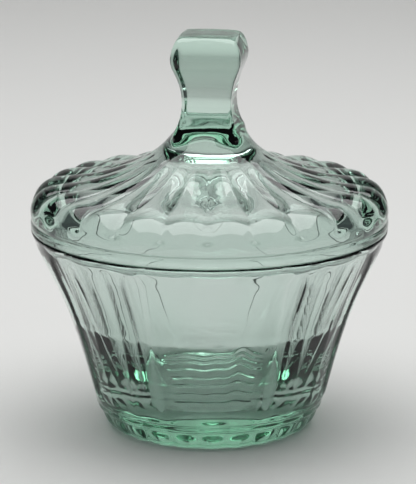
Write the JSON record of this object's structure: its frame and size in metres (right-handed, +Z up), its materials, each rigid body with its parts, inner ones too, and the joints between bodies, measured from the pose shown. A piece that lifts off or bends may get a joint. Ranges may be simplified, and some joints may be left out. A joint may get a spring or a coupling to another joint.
{
  "type": "covered candy dish",
  "caption": "Covered candy dish in pale green pressed glass: flared panelled bowl, fluted ogee lid with a square knob that lifts off.",
  "frame": {"origin": "centre of the flat foot, on the surface that the dish stands on", "axes": "+Z up along the axis of the bowl and the lid, -Y out of the middle of one wide panel of the bowl"},
  "size_m": [0.127, 0.127, 0.1417],
  "materials": {
    "bowl_glass": "fire-polished pressed glass, pale green, deeper where thick",
    "lid_glass": "fire-polished pressed glass, pale green, deeper where thick"
  },
  "bodies": {
    "bowl": {"bowl": "bowl_glass"},
    "lid": {"lid": "lid_glass"}
  },
  "joints": [
    {"name": "lid_lift", "type": "slide", "parent": "bowl", "child": "lid", "axis": [0, 0, 1], "range_m": [0, 0.08]}
  ]
}
